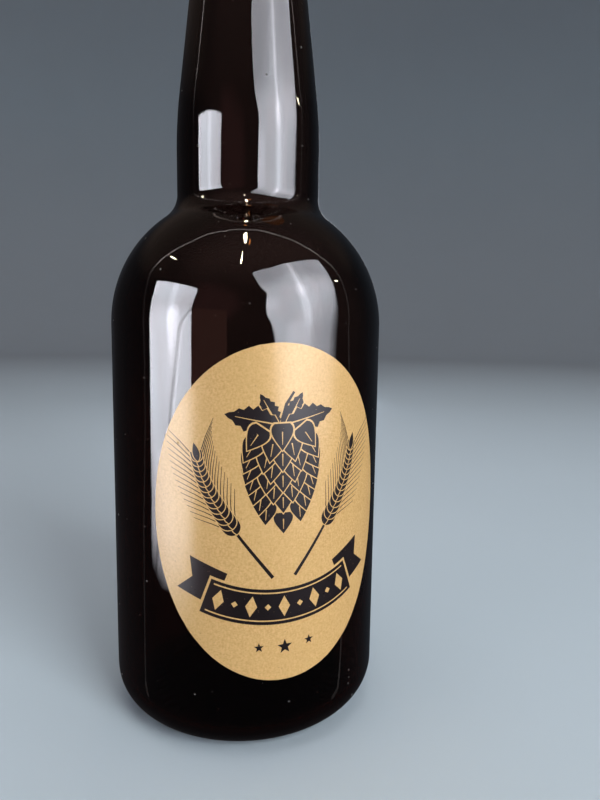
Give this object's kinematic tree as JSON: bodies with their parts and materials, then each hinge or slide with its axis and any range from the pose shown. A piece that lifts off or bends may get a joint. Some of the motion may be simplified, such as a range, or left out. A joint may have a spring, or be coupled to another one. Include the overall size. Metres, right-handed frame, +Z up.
{
  "type": "glass bottle",
  "caption": "Round-shouldered brown glass bottle with a slightly swelling neck, an oval paper label and a crown cap with its liner.",
  "frame": {"origin": "middle of the bottle's base, on the surface that it stands on", "axes": "+Z up along the bottle's axis, -Y out through the middle of the label, +X to the right as the label is read"},
  "size_m": [0.065, 0.0651, 0.1961],
  "materials": {
    "brown_glass": "glossy dark brown bottle glass",
    "kraft_paper": "uncoated kraft paper, printed in near-black",
    "tinplate": "gold lacquered tinplate",
    "liner_rubber": "soft pale sealing compound"
  },
  "bodies": {
    "bottle": {"bottle_glass": "brown_glass", "front_label": "kraft_paper"},
    "cap": {"crown_cap": "tinplate", "cap_liner": "liner_rubber"}
  },
  "joints": [
    {"name": "cap_lift", "type": "slide", "parent": "bottle", "child": "cap", "axis": [0, 0, 1], "range_m": [0, 0.04]}
  ]
}
